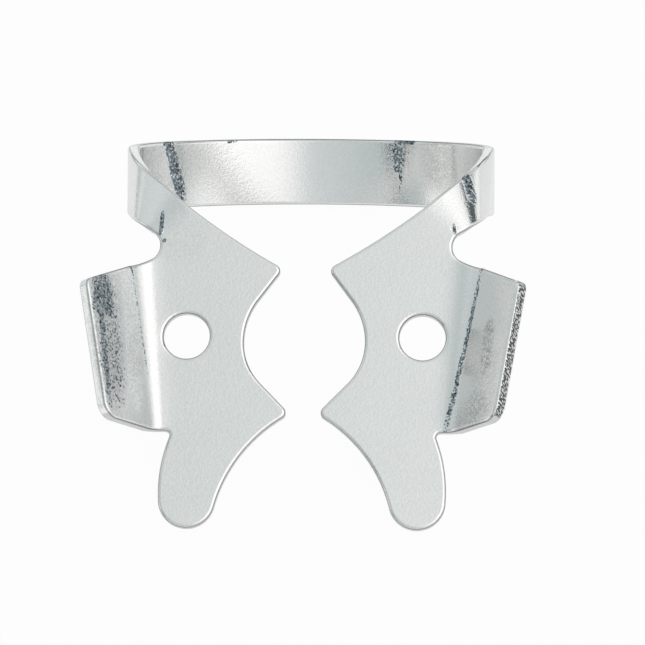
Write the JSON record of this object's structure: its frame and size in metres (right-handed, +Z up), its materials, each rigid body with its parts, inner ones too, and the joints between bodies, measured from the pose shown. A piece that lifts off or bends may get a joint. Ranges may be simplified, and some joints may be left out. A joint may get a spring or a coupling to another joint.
{
  "type": "rubber dam clamp",
  "caption": "Winged dental rubber dam clamp of folded spring steel: jaws with pointed prongs, forceps holes, bent side wings, long front tongues and an arched spring bow behind.",
  "frame": {"origin": "centre of the bounding box on the surface that the clamp rests on", "axes": "+Y from the tips of the tongues back to the bow, the longest extent; +X across the jaws; +Z up, the shortest extent, as the clamp lies on the crown of its bow and the tips of its tongues"},
  "size_m": [0.026, 0.0294, 0.0106],
  "materials": {
    "spring_steel": "satin, tumbled, with a fine grain"
  },
  "bodies": {
    "root": {"clamp": "spring_steel"}
  },
  "joints": []
}
